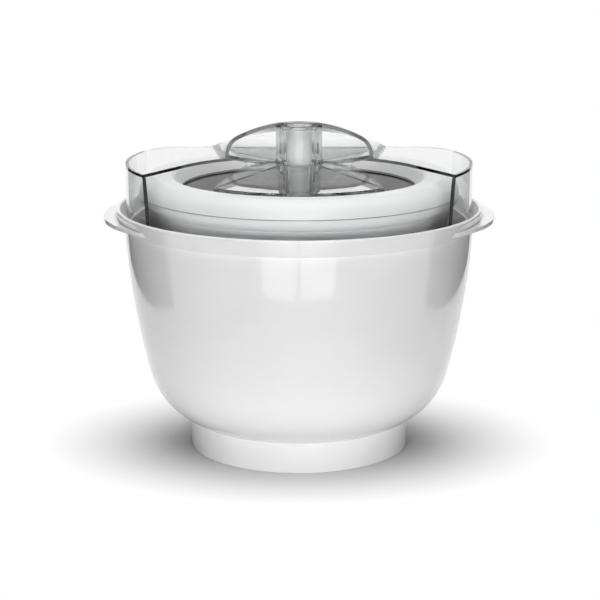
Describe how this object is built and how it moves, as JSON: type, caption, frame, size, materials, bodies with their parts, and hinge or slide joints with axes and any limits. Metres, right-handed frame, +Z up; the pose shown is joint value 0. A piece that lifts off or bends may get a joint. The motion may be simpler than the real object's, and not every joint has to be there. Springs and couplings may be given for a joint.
{
  "type": "ice cream maker",
  "caption": "Ice cream maker turned by a stand mixer: freezer bowl in a footed white outer bowl, still clear paddle and clear lid with a hood and a filling gap.",
  "frame": {"origin": "middle of the foot ring's underside, on the surface it stands on", "axes": "+Z up along the bowl's axis, +X to the right ear seen from the front, the front is -Y"},
  "size_m": [0.2544, 0.2384, 0.214],
  "materials": {
    "bowl_white": "gloss white moulding",
    "freezer_white": "satin white moulding",
    "clear_plastic": "clear gloss moulding",
    "wiper_clear": "soft translucent",
    "liner_metal": "spun satin",
    "soft_grey": "matt",
    "drive_grey": "fine matt",
    "screw_steel": "bright",
    "coolant": "gel"
  },
  "bodies": {
    "outer_bowl": {"outer_bowl": "bowl_white", "drive_socket": "drive_grey", "drive_screws": "screw_steel", "grip_ring": "soft_grey"},
    "freezer_bowl": {"freezer_shell": "freezer_white", "freezer_collar": "freezer_white", "freezer_liner": "liner_metal", "coolant_gel": "coolant", "shell_seal": "soft_grey", "liner_gasket": "soft_grey", "fill_plug": "soft_grey", "pivot_pin": "liner_metal"},
    "pivot_cap": {"pivot_cap": "drive_grey"},
    "paddle": {"paddle": "clear_plastic", "hub_sleeve": "clear_plastic", "hub_cap": "clear_plastic", "left_wall_wiper": "wiper_clear", "right_wall_wiper": "wiper_clear", "left_floor_wiper": "wiper_clear", "right_floor_wiper": "wiper_clear"},
    "lid": {"clear_lid": "clear_plastic"}
  },
  "joints": [
    {"name": "bowl_lift", "type": "slide", "parent": "outer_bowl", "child": "freezer_bowl", "axis": [0, 0, 1], "range_m": [0, 0.15]},
    {"name": "paddle_spin", "type": "hinge", "parent": "freezer_bowl", "child": "pivot_cap", "pos_m": [0, 0, 0.068], "axis": [0, 0, 1], "continuous": true},
    {"name": "paddle_lift", "type": "slide", "parent": "pivot_cap", "child": "paddle", "axis": [0, 0, 1], "range_m": [0, 0.13]},
    {"name": "lid_lift", "type": "slide", "parent": "paddle", "child": "lid", "axis": [0, 0, 1], "range_m": [0, 0.08]}
  ]
}
